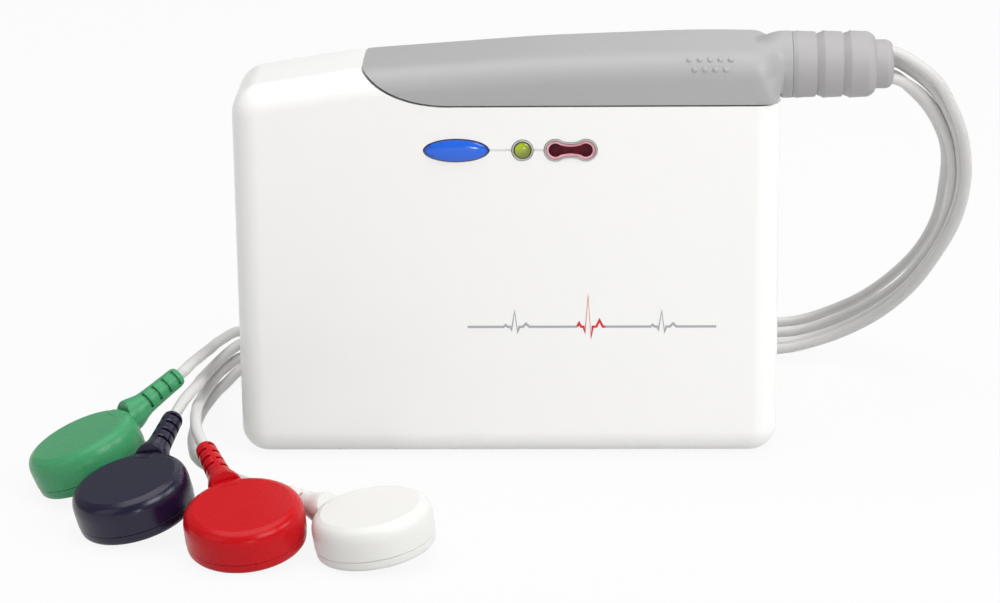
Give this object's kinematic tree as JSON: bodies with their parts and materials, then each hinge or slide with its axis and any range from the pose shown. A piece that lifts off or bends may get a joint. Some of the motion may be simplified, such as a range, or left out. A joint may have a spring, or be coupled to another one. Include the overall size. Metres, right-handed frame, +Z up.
{
  "type": "holter monitor",
  "caption": "Pocket heart recorder with an event button, status lamp, infrared window and a plug-in cable of colour-coded snap leads, standing on its foot.",
  "frame": {"origin": "on the surface it stands on, under the middle of the case, plug and strain relief", "axes": "+Z up, +X along the case towards the cable's end, the face looks along -Y"},
  "size_m": [0.1665, 0.1308, 0.0751],
  "materials": {
    "shell_white": "satin moulded, faint fine texture",
    "inner_white": "matt moulded",
    "cell_sleeve": null,
    "steel": "nickel plated",
    "button_blue": "glossy",
    "lens_green": "clear tinted, glossy",
    "bezel_grey": "satin",
    "window_red": "dark clear tinted, glossy",
    "rim_pink": "satin",
    "board_green": "solder mask",
    "chip_black": "matt moulded",
    "lamp_clear": "clear",
    "contact_gold": "gold plated",
    "plug_grey": "satin moulded",
    "relief_grey": "soft satin moulded",
    "lead_grey": "smooth satin sleeve",
    "head_green": "satin",
    "head_black": "satin",
    "head_red": "satin",
    "head_white": "satin"
  },
  "bodies": {
    "case": {"front_shell": "shell_white", "rear_shell": "shell_white", "case_screw_1": "steel", "case_screw_2": "steel", "case_screw_3": "steel", "case_screw_4": "steel", "battery_tray": "inner_white", "battery": "cell_sleeve", "battery_spring": "steel", "battery_contact": "steel", "status_lens": "lens_green", "status_bezel": "bezel_grey", "infrared_window": "window_red", "infrared_bezel": "rim_pink", "main_board": "board_green", "event_switch": "chip_black", "status_lamp": "lamp_clear", "infrared_module": "chip_black", "controller_chip": "chip_black", "memory_chip": "chip_black", "amplifier_chip": "chip_black", "socket_block": "chip_black", "socket_contacts": "contact_gold"},
    "button": {"event_button": "button_blue"},
    "door": {"battery_door": "shell_white"},
    "plug": {"plug_cover": "plug_grey", "plug_base": "plug_grey", "plug_contacts": "chip_black", "plug_board": "board_green", "strain_relief": "relief_grey", "green_lead": "lead_grey", "green_snap_head": "head_green", "green_snap_base": "head_green", "green_snap_socket": "steel", "black_lead": "lead_grey", "black_snap_head": "head_black", "black_snap_base": "head_black", "black_snap_socket": "steel", "red_lead": "lead_grey", "red_snap_head": "head_red", "red_snap_base": "head_red", "red_snap_socket": "steel", "white_lead": "lead_grey", "white_snap_head": "head_white", "white_snap_base": "head_white", "white_snap_socket": "steel"}
  },
  "joints": [
    {"name": "button_press", "type": "slide", "parent": "case", "child": "button", "axis": [0, 1, 0], "range_m": [0, 0.0006], "stiffness_N_per_m": 400},
    {"name": "door_swing", "type": "hinge", "parent": "case", "child": "door", "pos_m": [-0.04698, 0.0119, 0.01315], "axis": [0, 0, 1], "range_deg": [0, 100]},
    {"name": "plug_pull", "type": "slide", "parent": "case", "child": "plug", "axis": [1, 0, 0], "range_m": [0, 0.005]}
  ]
}
